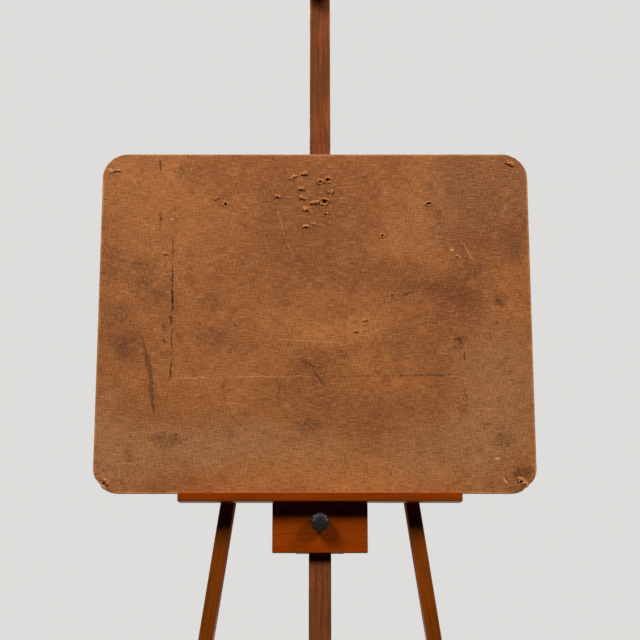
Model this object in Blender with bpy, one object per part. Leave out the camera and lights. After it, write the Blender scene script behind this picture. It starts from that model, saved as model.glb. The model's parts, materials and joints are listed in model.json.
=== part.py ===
"""A-frame studio easel carrying a hardboard drawing board.

Two splayed front legs and two rails make a front frame that leans back. A sliding mast runs up its middle and
carries the tray, the board and a top canvas holder. A rear leg hinges on the upper rail and is held open by a
drop-over stay. +Z is up, the board faces -Y, and the origin is on the floor under the middle of the easel.

Most pieces are modelled in the leaning frame's own axes: x to the right, y square to the frame and backwards,
z up along the frame.
"""
import math

import bmesh
import bpy
from mathutils import Matrix, Vector

GAP = 0.0003                       # between pieces that touch

# the leaning frame
LEAN = math.radians(12.4)
FRAME_Y = -0.3524                  # where the frame's plane meets the floor
SIN_LEAN = math.sin(LEAN)
COS_LEAN = math.cos(LEAN)

# front legs: centre lines run outwards as they go down
LEG_WIDTH = 0.024
LEG_FRONT = 0.004
LEG_BACK = 0.049
LEG_TOP = 1.31
LEG_SPLAY = 0.15
LEG_X = 0.166                      # centre line, at the height LEG_X_HEIGHT
LEG_X_HEIGHT = 0.735
PAD = 0.004                        # rubber foot thickness

# rails between the legs
RAIL_FRONT = 0.0247
RAIL_BACK = 0.0467
UPPER_RAIL = (1.23, 1.29)
LOWER_RAIL = (0.272, 0.322)
RAIL_BOLT_LENGTH = 0.050
RAIL_BOLT_R = 0.003

# mast
MAST_HALF = 0.019
MAST_DEPTH = 0.022
MAST_BOTTOM = 0.05
MAST_TOP = 1.80
MAST_ARRIS = 0.002
GROOVE_FRONT = 0.0095
GROOVE_BACK = 0.0125
GROOVE_DEPTH = 0.003
SLIDE_GAP = 0.0004                 # running clearance round the mast

# drawing board: 30 x 24 inch hardboard
BOARD_WIDTH = 0.762
BOARD_HEIGHT = 0.610
BOARD_THICK = 0.005
BOARD_CORNER = 0.045
BOARD_X = -0.009                   # the board stands a little left of the mast

# tray carriage
TRAY_TOP = 0.80
LEDGE_HALF = 0.241
LEDGE_THICK = 0.015
LEDGE_FRONT = -0.035
PLATE_HALF = 0.081
PLATE_THICK = 0.012
PLATE_BOTTOM = 0.700
CHEEK_THICK = 0.022
BACK_PLATE_THICK = 0.012
TRAY_KNOB_HEIGHT = 0.751

# clamp block on the lower rail
BRIDGE_HALF = 0.052
BRIDGE_WALL = 0.018
BRIDGE_SCREW_X = 0.037
BRIDGE_SCREW_HEIGHT = 0.307

# top canvas holder
JAW_HALF = 0.035
JAW_WALL = 0.030
JAW_BOTTOM = 1.715
JAW_TOP = 1.775
JAW_LIP = 0.008
JAW_NOTCH = 0.012
HOLDER_KNOB_HEIGHT = 1.752
HOLDER_SCREW_X = 0.0272

# rear leg, hinged behind the upper rail
HINGE_Y = 0.072
HINGE_HEIGHT = 1.26
REAR_ANGLE = math.radians(16.0)    # from the vertical
REAR_HALF_WIDTH = 0.020
REAR_HALF_THICK = 0.011
REAR_TOP = 0.016
HINGE_BOLT_R = 0.004
HINGE_CHEEK_THICK = 0.018
HINGE_CHEEK_R = 0.020

# stay: a flat bar from the rear leg to a pin behind the lower rail
STAY_PIVOT = 0.86                  # down the rear leg from the hinge
STAY_X = (0.024, 0.028)
STAY_HALF = 0.010
STAY_NOSE = 0.008
STAY_NOSE_LENGTH = 0.016
PIN_Y = 0.062
PIN_HEIGHT = 0.345
PIN_R = 0.004
CATCH_X = (0.021, 0.031)
CATCH_SHEET = 0.002
CATCH_PLATE_X = (0.010, 0.042)
CATCH_PLATE_HEIGHT = (0.277, 0.317)
CATCH_SCREW_HEIGHT = 0.286

# screws and clamp screws
SCREW_HEAD_R = 0.0040
SCREW_R = 0.0020
STUD_R = 0.0030
INSERT_R = 0.0060
INSERT_DEPTH = 0.0090
KNOB_R = 0.016
KNOB_STAND = 0.0030                # knob's back stands this far in front of its block
KNOB_BORE = 0.0120
KNOB_LOBES = 8

WOOD_ROUND = 0.0015


def clear_scene():
    for old in list(bpy.data.objects):
        bpy.data.objects.remove(old)


def make_material(name, colour, roughness, metallic=0.0):
    made = bpy.data.materials.new(name)
    made.use_nodes = True
    shader = made.node_tree.nodes["Principled BSDF"]
    shader.inputs["Base Color"].default_value = (*colour, 1.0)
    shader.inputs["Roughness"].default_value = roughness
    shader.inputs["Metallic"].default_value = metallic
    made.diffuse_color = (*colour, 1.0)
    return made


def make_empty(name, parent=None, location=(0, 0, 0), turn_x=0.0):
    empty = bpy.data.objects.new(name, None)
    bpy.context.collection.objects.link(empty)
    empty.parent = parent
    empty.location = location
    empty.rotation_euler = (turn_x, 0, 0)
    return empty


def make_object(name, shape, finish, parent, smooth=False):
    """Turn a bmesh into a named object whose faces point outwards."""
    bmesh.ops.recalc_face_normals(shape, faces=shape.faces)
    mesh = bpy.data.meshes.new(name)
    shape.to_mesh(mesh)
    shape.free()
    if smooth:
        mesh.shade_smooth()
        mesh.set_sharp_from_angle(angle=math.radians(40))
    mesh.materials.append(finish)
    made = bpy.data.objects.new(name, mesh)
    bpy.context.collection.objects.link(made)
    made.parent = parent
    return made


def round_edges(target, width=WOOD_ROUND):
    bevel = target.modifiers.new("round", "BEVEL")
    bevel.width = width
    bevel.segments = 2
    bevel.limit_method = "ANGLE"
    bevel.angle_limit = math.radians(40)


def hide_cutter(cutter):
    cutter.hide_render = True
    cutter.display_type = "WIRE"


def cut(target, cutter):
    hide_cutter(cutter)
    boolean = target.modifiers.new("cut", "BOOLEAN")
    boolean.operation = "DIFFERENCE"
    boolean.object = cutter


def corner_solid(name, corner, finish, parent, rounding=WOOD_ROUND):
    """Six-sided solid. corner(i, j, k) gives a corner, each index 0 or 1 for the low or high side in x, y, z."""
    shape = bmesh.new()
    points = {
        (i, j, k): shape.verts.new(corner(i, j, k))
        for i in (0, 1) for j in (0, 1) for k in (0, 1)
    }
    faces = (
        [(0, 0, 0), (0, 1, 0), (0, 1, 1), (0, 0, 1)], [(1, 0, 0), (1, 1, 0), (1, 1, 1), (1, 0, 1)],
        [(0, 0, 0), (1, 0, 0), (1, 0, 1), (0, 0, 1)], [(0, 1, 0), (1, 1, 0), (1, 1, 1), (0, 1, 1)],
        [(0, 0, 0), (1, 0, 0), (1, 1, 0), (0, 1, 0)], [(0, 0, 1), (1, 0, 1), (1, 1, 1), (0, 1, 1)],
    )
    for face in faces:
        shape.faces.new([points[index] for index in face])
    made = make_object(name, shape, finish, parent)
    if rounding:
        round_edges(made, rounding)
    return made


def box(name, low, high, finish, parent, rounding=WOOD_ROUND):
    ends = (low, high)
    return corner_solid(name, lambda i, j, k: (ends[i][0], ends[j][1], ends[k][2]), finish, parent, rounding)


def prism(name, outline, axis, start, stop, finish, parent, rounding=0.0):
    """Extrude a flat outline along x, y or z. The outline's two numbers are the other two axes, in order."""
    place = {
        "x": lambda a, b, along: (along, a, b),
        "y": lambda a, b, along: (a, along, b),
        "z": lambda a, b, along: (a, b, along),
    }[axis]
    shape = bmesh.new()
    near = [shape.verts.new(place(a, b, start)) for a, b in outline]
    far = [shape.verts.new(place(a, b, stop)) for a, b in outline]
    shape.faces.new(near)
    shape.faces.new(far)
    for here in range(len(outline)):
        following = (here + 1) % len(outline)
        shape.faces.new((near[here], near[following], far[following], far[here]))
    made = make_object(name, shape, finish, parent)
    if rounding:
        round_edges(made, rounding)
    return made


def arc(centre, radius, start, stop, steps):
    """Points on an arc, with both ends, angles in degrees."""
    angles = [math.radians(start + (stop - start) * step / steps) for step in range(steps + 1)]
    return [(centre[0] + radius * math.cos(a), centre[1] + radius * math.sin(a)) for a in angles]


def rounded_rectangle(centre, half_width, half_height, radius, steps):
    outline = []
    for number, (sx, sy) in enumerate(((1, 1), (-1, 1), (-1, -1), (1, -1))):
        middle = (centre[0] + sx * (half_width - radius), centre[1] + sy * (half_height - radius))
        outline += arc(middle, radius, 90 * number, 90 * number + 90, steps)
    return outline


def plain_ring(angle):
    return 1.0


def hex_ring(angle):
    """A hexagon whose flats stand at the given radius."""
    sector = math.pi / 3
    return 1.0 / math.cos((angle % sector) - sector / 2)


def cross_ring(angle):
    """A cross-shaped driver recess."""
    return 0.42 + 0.58 * abs(math.cos(2 * angle)) ** 2 * (math.cos(4 * angle) > 0)


def lobed_ring(angle):
    """Grip lobes round a knob."""
    return 1.0 - 0.085 * (0.5 - 0.5 * math.cos(KNOB_LOBES * angle)) ** 0.8


def turned(name, profile, place, direction, finish, parent, segments=12, closed=False):
    """A piece turned about an axis that starts at place and runs along direction.

    The profile lists (radius, distance along the axis, ring shape). An open profile starts and ends on the axis,
    and a closed one runs round a hole.
    """
    shape = bmesh.new()
    rings = []
    for radius, along, *ring_shape in profile:
        factor = ring_shape[0] if ring_shape else plain_ring
        if radius == 0:
            rings.append([shape.verts.new((0, 0, along))])
            continue
        angles = [2 * math.pi * step / segments for step in range(segments)]
        rings.append([
            shape.verts.new((radius * factor(a) * math.cos(a), radius * factor(a) * math.sin(a), along))
            for a in angles
        ])
    pairs = list(zip(rings, rings[1:]))
    if closed:
        pairs.append((rings[-1], rings[0]))
    for one, other in pairs:
        for step in range(segments):
            following = (step + 1) % segments
            corners = [one[step % len(one)], one[following % len(one)],
                       other[following % len(other)], other[step % len(other)]]
            shape.faces.new(list(dict.fromkeys(corners)))
    made = make_object(name, shape, finish, parent, smooth=True)
    made.location = place
    made.rotation_euler = Vector(direction).to_track_quat("Z", "Y").to_euler()
    return made


def wood_screw(name, place, direction, length, finish, parent, targets):
    """Countersunk cross-head screw, its head's face at place, and its hole through the targets."""
    recess = 0.0019
    recess_depth = 0.0012
    head_edge = 0.0003
    cone_end = 0.0024
    turned(name, [
        (0, recess_depth), (recess, recess_depth, cross_ring), (recess, 0, cross_ring),
        (SCREW_HEAD_R, 0), (SCREW_HEAD_R, head_edge), (SCREW_R, cone_end),
        (SCREW_R, length - 0.003), (0, length),
    ], place, direction, finish, parent)
    hole = turned(name + "_hole", [
        (0, -0.002), (SCREW_HEAD_R + GAP, -0.002), (SCREW_HEAD_R + GAP, head_edge + GAP),
        (SCREW_R + GAP, cone_end + GAP), (SCREW_R + GAP, length + GAP), (0, length + GAP),
    ], place, direction, finish, parent)
    for target in targets:
        cut(target, hole)


def floor_height(y, height):
    """Height along the leaning frame at which the depth y stands at a height above the floor."""
    return (height + y * SIN_LEAN) / COS_LEAN


def leg_centre(z):
    return LEG_X + LEG_SPLAY * (LEG_X_HEIGHT - z)


def leg_half():
    """Half the leg's width, measured level."""
    return LEG_WIDTH / 2 * math.hypot(1, LEG_SPLAY)


def front_legs(frame, wood, rubber):
    legs = {}
    for word, side in (("left", -1), ("right", 1)):
        def leg_corner(i, j, bottom):
            y = (LEG_FRONT, LEG_BACK)[j]
            z = floor_height(y, bottom) if bottom is not None else LEG_TOP
            return (side * (leg_centre(z) + (-leg_half(), leg_half())[i]), y, z)

        legs[side] = corner_solid(
            f"front_leg_{word}", lambda i, j, k: leg_corner(i, j, (PAD, None)[k]), wood, frame, 0.002)
        corner_solid(f"front_foot_pad_{word}", lambda i, j, k: leg_corner(i, j, (0.0, PAD - GAP)[k]),
                     rubber, frame, 0.0)
    return legs


def rail(name, heights, frame, wood):
    def rail_corner(i, j, k):
        z = heights[k]
        half = leg_centre(z) - leg_half() - GAP
        return ((-half, half)[i], (RAIL_FRONT, RAIL_BACK)[j], z)
    return corner_solid(name, rail_corner, wood, frame)


def rail_bolts(frame, legs, rails, steel):
    """Socket-head bolts, square to the legs' outer faces."""
    head_height = 0.005
    slant = math.atan(LEG_SPLAY)
    for (rail_word, target), heights in zip(rails.items(), (UPPER_RAIL, LOWER_RAIL)):
        for word, side in (("left", -1), ("right", 1)):
            z = sum(heights) / 2 + 0.003
            place = (side * (leg_centre(z) + leg_half()), (RAIL_FRONT + RAIL_BACK) / 2, z)
            inward = (-side * math.cos(slant), 0, -math.sin(slant))
            name = f"rail_bolt_{rail_word}_{word}"
            turned(name, [
                (0, -0.0023), (0.0026, -0.0023, hex_ring), (0.0026, -head_height, hex_ring),
                (0.0059, -head_height), (0.0065, -head_height + 0.0006), (0.0065, -GAP),
                (RAIL_BOLT_R, -GAP), (RAIL_BOLT_R, RAIL_BOLT_LENGTH - 0.001), (0, RAIL_BOLT_LENGTH),
            ], place, inward, steel, frame)
            bore = RAIL_BOLT_R + GAP
            hole = turned(name + "_hole", [
                (0, -0.003), (bore, -0.003), (bore, RAIL_BOLT_LENGTH + GAP), (0, RAIL_BOLT_LENGTH + GAP),
            ], place, inward, steel, frame)
            cut(legs[side], hole)
            cut(target, hole)


def mast(frame, wood):
    """The mast's section has rounded arrises and a guide groove down each side."""
    section = []
    for sx, sy, start in ((1, 1, 0), (-1, 1, 90), (-1, -1, 180), (1, -1, 270)):
        centre = (sx * (MAST_HALF - MAST_ARRIS), MAST_DEPTH / 2 + sy * (MAST_DEPTH / 2 - MAST_ARRIS))
        section += arc(centre, MAST_ARRIS, start, start + 90, 3)
        if (sx, sy) == (-1, 1):
            section += groove_corners(-1, (GROOVE_BACK, GROOVE_FRONT))
        if (sx, sy) == (1, -1):
            section += groove_corners(1, (GROOVE_FRONT, GROOVE_BACK))
    return prism("mast", section, "z", MAST_BOTTOM, MAST_TOP, wood, frame)


def groove_corners(side, depths):
    mouth = side * MAST_HALF
    floor = side * (MAST_HALF - GROOVE_DEPTH)
    first, last = depths
    return [(mouth, first), (floor, first), (floor, last), (mouth, last)]


def mast_saddle(frame, upper, steel):
    """Folded steel guide on the upper rail, with lips that run in the mast's grooves."""
    sheet = 0.002
    base_back = RAIL_FRONT - GAP
    base_front = base_back - sheet
    inner = MAST_HALF + SLIDE_GAP
    outer = inner + sheet
    lip_end = MAST_HALF - GROOVE_DEPTH + 0.0006
    lip_front = GROOVE_FRONT + 0.0007
    lip_back = GROOVE_BACK - 0.0007
    half = [(lip_end, lip_front), (outer, lip_front), (outer, base_back)]
    inside = [(inner, base_front), (inner, lip_back), (lip_end, lip_back)]
    mirrored = [(-x, y) for x, y in reversed(half)]
    section = half + mirrored + [(-x, y) for x, y in reversed(inside)] + inside
    low, high = UPPER_RAIL
    saddle = prism("mast_saddle", section, "z", low + 0.008, high - 0.008, steel, frame)
    for word, z in (("lower", low + 0.018), ("upper", high - 0.018)):
        wood_screw(f"saddle_screw_{word}", (0, base_front + 0.0001, z), (0, 1, 0), 0.017, steel, frame,
                   (saddle, upper))


def channel_cutter(name, low, high, frame, finish):
    """The mast's passage through a block, open at the back."""
    half = MAST_HALF + SLIDE_GAP
    return box(name, (-half, -SLIDE_GAP, low - 0.01), (half, MAST_DEPTH + 0.01, high + 0.01), finish, frame, 0.0)


def clamp_screw(name, block, face_y, height, frame, knob_parent, finishes):
    """Lobed knob on a stud, in a brass insert let into a block, pressing on the front of the mast."""
    steel, brass, plastic = finishes
    towards = (0, -1, 0)
    wall = -face_y
    place = (0, face_y, height)
    bore = STUD_R + GAP
    hole = turned(name + "_hole", [
        (0, 0.003), (INSERT_R + GAP, 0.003), (INSERT_R + GAP, -INSERT_DEPTH - GAP),
        (bore, -INSERT_DEPTH - GAP), (bore, -wall - 0.002), (0, -wall - 0.002),
    ], place, towards, steel, frame, 16)
    cut(block, hole)
    turned(f"{name}_insert", [
        (bore, 0.0015), (0.0078, 0.0015), (0.0078, GAP), (INSERT_R, GAP),
        (INSERT_R, -INSERT_DEPTH), (bore, -INSERT_DEPTH),
    ], place, towards, brass, frame, 16, closed=True)
    turned(f"{name}_stud", [
        (0, KNOB_STAND + KNOB_BORE - GAP), (STUD_R, KNOB_STAND + KNOB_BORE - GAP),
        (STUD_R, SLIDE_GAP + 0.001 - wall), (0, SLIDE_GAP - wall),
    ], place, towards, steel, knob_parent)
    turned(name, [
        (0, KNOB_STAND + KNOB_BORE), (bore, KNOB_STAND + KNOB_BORE), (bore, KNOB_STAND),
        (0.0080, KNOB_STAND), (0.0085, KNOB_STAND + 0.0040), (KNOB_R * 0.90, KNOB_STAND + 0.0040, lobed_ring),
        (KNOB_R, KNOB_STAND + 0.0065, lobed_ring), (KNOB_R, KNOB_STAND + 0.0120, lobed_ring),
        (KNOB_R * 0.88, KNOB_STAND + 0.0150, lobed_ring), (KNOB_R * 0.52, KNOB_STAND + 0.0172),
        (0, KNOB_STAND + 0.0182),
    ], place, towards, plastic, knob_parent, 4 * KNOB_LOBES)


def mast_bridge(frame, lower, wood, finishes):
    """Clamp block on the lower rail, in front of the mast and round its sides."""
    steel = finishes[0]
    low, high = LOWER_RAIL[0] + 0.002, LOWER_RAIL[1] - 0.002
    bridge = box("mast_bridge", (-BRIDGE_HALF, -BRIDGE_WALL, low), (BRIDGE_HALF, RAIL_FRONT - GAP, high),
                 wood, frame)
    cut(bridge, channel_cutter("bridge_channel", low, high, frame, wood))
    length = BRIDGE_WALL + RAIL_BACK - 0.006
    for word, side in (("left", -1), ("right", 1)):
        wood_screw(f"bridge_screw_{word}", (side * BRIDGE_SCREW_X, -BRIDGE_WALL + 0.0002, BRIDGE_SCREW_HEIGHT),
                   (0, 1, 0), length, steel, frame, (bridge, lower))
    clamp_screw("mast_knob", bridge, -BRIDGE_WALL, sum(LOWER_RAIL) / 2 - 0.002, frame, frame, finishes)


def rear_hinge(frame, upper, wood, steel):
    """Two wooden cheeks behind the upper rail, and the bolt that the rear leg turns on."""
    inner = REAR_HALF_WIDTH + 2 * GAP
    outer = inner + HINGE_CHEEK_THICK
    root = RAIL_BACK + GAP
    outline = [(root, HINGE_HEIGHT + HINGE_CHEEK_R), (root, HINGE_HEIGHT - HINGE_CHEEK_R)]
    outline += arc((HINGE_Y, HINGE_HEIGHT), HINGE_CHEEK_R, -90, 90, 10)
    bore = HINGE_BOLT_R + GAP
    reach = outer + 0.02
    hole = turned("hinge_hole", [(0, -reach), (bore, -reach), (bore, reach), (0, reach)],
                  (0, HINGE_Y, HINGE_HEIGHT), (1, 0, 0), steel, frame, 16)
    washer = 0.0016
    for word, side in (("left", -1), ("right", 1)):
        start, stop = sorted((side * inner, side * outer))
        cheek = prism(f"hinge_cheek_{word}", outline, "x", start, stop, wood, frame, WOOD_ROUND)
        cut(cheek, hole)
        wood_screw(f"cheek_screw_{word}", (side * (inner + outer) / 2, RAIL_FRONT + 0.0002, HINGE_HEIGHT),
                   (0, 1, 0), 0.036, steel, frame, (upper, cheek))
        turned(f"hinge_washer_{word}", [
            (bore, 0), (0.0088, 0), (0.0088, washer), (bore, washer),
        ], (side * (outer + GAP), HINGE_Y, HINGE_HEIGHT), (side, 0, 0), steel, frame, 16, closed=True)
    face = outer + washer + 2 * GAP
    turned("hinge_bolt", [
        (0, -face - 0.0048), (0.0045, -face - 0.0042), (0.0080, -face - 0.0022), (0.0088, -face),
        (HINGE_BOLT_R, -face), (HINGE_BOLT_R, face + 0.0085), (HINGE_BOLT_R - 0.0008, face + 0.0095),
        (0, face + 0.0095),
    ], (0, HINGE_Y, HINGE_HEIGHT), (1, 0, 0), steel, frame, 16)
    turned("hinge_nut", [
        (bore, GAP), (0.0065, GAP, hex_ring), (0.0065, 0.0065, hex_ring), (bore, 0.0065),
    ], (face, HINGE_Y, HINGE_HEIGHT), (1, 0, 0), steel, frame, 12, closed=True)


def stay_catch(frame, lower, steel):
    """Steel bracket behind the lower rail: a plate and two ears that hold the pin the stay drops over."""
    root = RAIL_BACK + GAP
    floor = root + CATCH_SHEET
    low, high = CATCH_PLATE_HEIGHT
    ear = [(root, high), (root, low + 0.008), (floor + 0.004, low + 0.008)]
    ear += arc((PIN_Y, PIN_HEIGHT), 0.0075, -40, 150, 10)
    catch = prism("stay_catch", ear, "x", CATCH_X[0], CATCH_X[1], steel, frame)
    slot = box("catch_slot", (CATCH_X[0] + CATCH_SHEET, floor, low - 0.02),
               (CATCH_X[1] - CATCH_SHEET, PIN_Y + 0.02, PIN_HEIGHT + 0.02), steel, frame, 0.0)
    cut(catch, slot)
    top_cut = box("catch_top_cut", (CATCH_X[0] + CATCH_SHEET, root - 0.01, high - 0.004),
                  (CATCH_X[1] - CATCH_SHEET, floor + 0.001, PIN_HEIGHT + 0.02), steel, frame, 0.0)
    cut(catch, top_cut)
    plate = box("catch_plate_blank", (CATCH_PLATE_X[0], root, low), (CATCH_PLATE_X[1], floor, high),
                steel, frame, 0.0)
    hide_cutter(plate)
    weld = catch.modifiers.new("plate", "BOOLEAN")
    weld.operation = "UNION"
    weld.object = plate
    for word, x in (("inner", CATCH_PLATE_X[0] + 0.0055), ("outer", CATCH_PLATE_X[1] - 0.0055)):
        wood_screw(f"catch_screw_{word}", (x, floor - 0.0001, CATCH_SCREW_HEIGHT), (0, -1, 0), 0.015,
                   steel, frame, (catch, lower))
    bore = PIN_R + GAP
    start, stop = CATCH_X[0] - 0.0010, CATCH_X[1] + 0.0010
    hole = turned("catch_pin_hole", [(0, -0.01), (bore, -0.01), (bore, 0.02), (0, 0.02)],
                  (start, PIN_Y, PIN_HEIGHT), (1, 0, 0), steel, frame, 16)
    cut(catch, hole)
    turned("catch_pin", [
        (0, 0), (PIN_R - 0.0005, 0), (PIN_R, 0.0005), (PIN_R, stop - start - 0.0005),
        (PIN_R - 0.0005, stop - start), (0, stop - start),
    ], (start, PIN_Y, PIN_HEIGHT), (1, 0, 0), steel, frame, 16)


def tray_carriage(mount, wood, finishes):
    """Ledge and plate in front of the mast, with cheeks and a back plate that close round it."""
    steel = finishes[0]
    ledge_bottom = TRAY_TOP - LEDGE_THICK
    plate_top = ledge_bottom - GAP
    ledge = box("tray_ledge", (-LEDGE_HALF, LEDGE_FRONT, ledge_bottom), (LEDGE_HALF, -SLIDE_GAP, TRAY_TOP),
                wood, mount)
    plate_back = -SLIDE_GAP
    plate_front = plate_back - PLATE_THICK
    plate = box("tray_front_plate", (-PLATE_HALF, plate_front, PLATE_BOTTOM), (PLATE_HALF, plate_back, plate_top),
                wood, mount)
    inner = MAST_HALF + SLIDE_GAP
    outer = inner + CHEEK_THICK
    cheek_back = MAST_DEPTH + SLIDE_GAP - GAP
    back_front = cheek_back + GAP
    back = box("tray_back_plate", (-outer, back_front, PLATE_BOTTOM + 0.004),
               (outer, back_front + BACK_PLATE_THICK, plate_top - 0.004), wood, mount)
    for word, side in (("left", -1), ("right", 1)):
        start, stop = sorted((side * inner, side * outer))
        cheek = box(f"tray_cheek_{word}", (start, plate_back + GAP, PLATE_BOTTOM), (stop, cheek_back, plate_top),
                    wood, mount, 0.0008)
        middle = side * (inner + outer) / 2
        for level, z in (("lower", PLATE_BOTTOM + 0.020), ("upper", plate_top - 0.020)):
            face = back_front + BACK_PLATE_THICK - 0.0002
            wood_screw(f"tray_screw_{level}_{word}", (middle, face, z), (0, -1, 0),
                       face - plate_front - 0.004, steel, mount, (back, cheek, plate))
        wood_screw(f"ledge_screw_{word}", (side * (PLATE_HALF - 0.021), (plate_front + plate_back) / 2,
                                           TRAY_TOP - 0.0002),
                   (0, 0, -1), 0.045, steel, mount, (ledge, plate))
    clamp_screw("tray_knob", plate, plate_front, TRAY_KNOB_HEIGHT, mount, mount, finishes)


def top_holder(mount, wood, finishes):
    """Sliding canvas holder: a block round the mast with a lip that drops in front of a canvas's top edge."""
    steel = finishes[0]
    side_back = MAST_DEPTH + SLIDE_GAP - GAP
    outline = [
        (-JAW_WALL, JAW_BOTTOM), (-JAW_WALL + JAW_LIP, JAW_BOTTOM), (-JAW_WALL + JAW_LIP, JAW_BOTTOM + JAW_NOTCH),
        (side_back, JAW_BOTTOM + JAW_NOTCH), (side_back, JAW_TOP), (-JAW_WALL, JAW_TOP),
    ]
    jaw = prism("holder_jaw", outline, "x", -JAW_HALF, JAW_HALF, wood, mount, WOOD_ROUND)
    cut(jaw, channel_cutter("jaw_channel", JAW_BOTTOM, JAW_TOP, mount, wood))
    back_low, back_high = JAW_BOTTOM + JAW_NOTCH + 0.002, JAW_TOP - 0.002
    plate_front = side_back + GAP
    plate = box("holder_back_plate", (-JAW_HALF, plate_front, back_low),
                (JAW_HALF, plate_front + 0.010, back_high), wood, mount)
    face = plate_front + 0.010 - 0.0002
    for word, side in (("left", -1), ("right", 1)):
        wood_screw(f"holder_screw_{word}", (side * HOLDER_SCREW_X, face, (back_low + back_high) / 2),
                   (0, -1, 0), face + 0.016, steel, mount, (plate, jaw))
    clamp_screw("holder_knob", jaw, -JAW_WALL, HOLDER_KNOB_HEIGHT, mount, mount, finishes)


def drawing_board(mount, hardboard):
    back = -SLIDE_GAP
    centre = (BOARD_X, TRAY_TOP + GAP + BOARD_HEIGHT / 2)
    outline = rounded_rectangle(centre, BOARD_WIDTH / 2, BOARD_HEIGHT / 2, BOARD_CORNER, 8)
    prism("drawing_board", outline, "y", back - BOARD_THICK, back, hardboard, mount)


def rear_leg(hinge, wood, rubber, steel):
    """Single rear leg. Its own axes start at the hinge, with z up along the leg."""
    hinge_world = HINGE_HEIGHT * COS_LEAN - HINGE_Y * SIN_LEAN

    def floor_at(y, height):
        return (height - hinge_world - y * math.sin(REAR_ANGLE)) / math.cos(REAR_ANGLE)

    t = REAR_HALF_THICK
    corner = 0.006
    outline = [(-t, floor_at(-t, PAD)), (t, floor_at(t, PAD))]
    outline += arc((t - corner, REAR_TOP - corner), corner, 0, 90, 4)
    outline += arc((-t + corner, REAR_TOP - corner), corner, 90, 180, 4)
    leg = prism("rear_leg", outline, "x", -REAR_HALF_WIDTH, REAR_HALF_WIDTH, wood, hinge, 0.002)
    pad = [(-t, floor_at(-t, 0.0)), (t, floor_at(t, 0.0)), (t, floor_at(t, PAD - GAP)), (-t, floor_at(-t, PAD - GAP))]
    prism("rear_foot_pad", pad, "x", -REAR_HALF_WIDTH, REAR_HALF_WIDTH, rubber, hinge)
    reach = REAR_HALF_WIDTH + 0.01
    for word, radius, z in (("hinge", HINGE_BOLT_R + GAP, 0.0), ("stay", STUD_R + GAP, -STAY_PIVOT)):
        hole = turned(f"rear_leg_{word}_hole", [(0, -reach), (radius, -reach), (radius, reach), (0, reach)],
                      (0, 0, z), (1, 0, 0), steel, hinge, 16)
        cut(leg, hole)
    bore = STUD_R + GAP
    spacer = STAY_X[0] - REAR_HALF_WIDTH - 2 * GAP
    turned("stay_pivot_spacer", [(bore, 0), (0.0075, 0), (0.0075, spacer), (bore, spacer)],
           (REAR_HALF_WIDTH + GAP, 0, -STAY_PIVOT), (1, 0, 0), steel, hinge, 12, closed=True)
    inner_end = -REAR_HALF_WIDTH - 0.0070
    outer_face = STAY_X[1] + GAP
    turned("stay_pivot_bolt", [
        (0, inner_end), (STUD_R - 0.0005, inner_end), (STUD_R, inner_end + 0.0005), (STUD_R, outer_face),
        (0.0070, outer_face), (0.0066, outer_face + 0.0018), (0.0040, outer_face + 0.0032), (0, outer_face + 0.0036),
    ], (0, 0, -STAY_PIVOT), (1, 0, 0), steel, hinge)
    turned("stay_pivot_nut", [
        (bore, 0), (0.0050, 0, hex_ring), (0.0050, 0.0050, hex_ring), (bore, 0.0050),
    ], (-REAR_HALF_WIDTH - GAP, 0, -STAY_PIVOT), (-1, 0, 0), steel, hinge, 12, closed=True)


def stay_bar(frame, steel):
    """Flat bar from its pivot on the rear leg to a hooked end in front of the catch pin.

    In the bar's own axes, y runs back from the hook to the pivot and z is square to it, upwards.
    """
    opening = LEAN + REAR_ANGLE
    pivot = Vector((0, HINGE_Y + STAY_PIVOT * math.sin(opening), HINGE_HEIGHT - STAY_PIVOT * math.cos(opening)))
    to_pin = Vector((0, PIN_Y, PIN_HEIGHT)) - pivot
    off_line = STAY_HALF + GAP + PIN_R
    droop = math.atan2(-to_pin.z, -to_pin.y) - math.asin(off_line / to_pin.length)
    mount = make_empty("stay_pivot_axis", frame, pivot, droop)
    pin_at = -math.sqrt(to_pin.length ** 2 - off_line ** 2)
    hook = pin_at - PIN_R - 2 * GAP
    tip = hook - STAY_NOSE_LENGTH
    outline = arc((0, 0), STAY_HALF, -90, 90, 8)
    outline += arc((tip + 0.006, STAY_HALF - 0.006), 0.006, 90, 180, 3)
    outline += arc((tip + 0.004, -STAY_HALF - STAY_NOSE + 0.004), 0.004, 180, 270, 3)
    outline += [(hook, -STAY_HALF - STAY_NOSE), (hook, -STAY_HALF)]
    bar = prism("stay", outline, "x", STAY_X[0], STAY_X[1], steel, mount)
    bore = STUD_R + GAP
    hole = turned("stay_hole", [(0, 0), (bore, 0), (bore, 0.05), (0, 0.05)], (0, 0, 0), (1, 0, 0), steel, mount, 16)
    cut(bar, hole)


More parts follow.
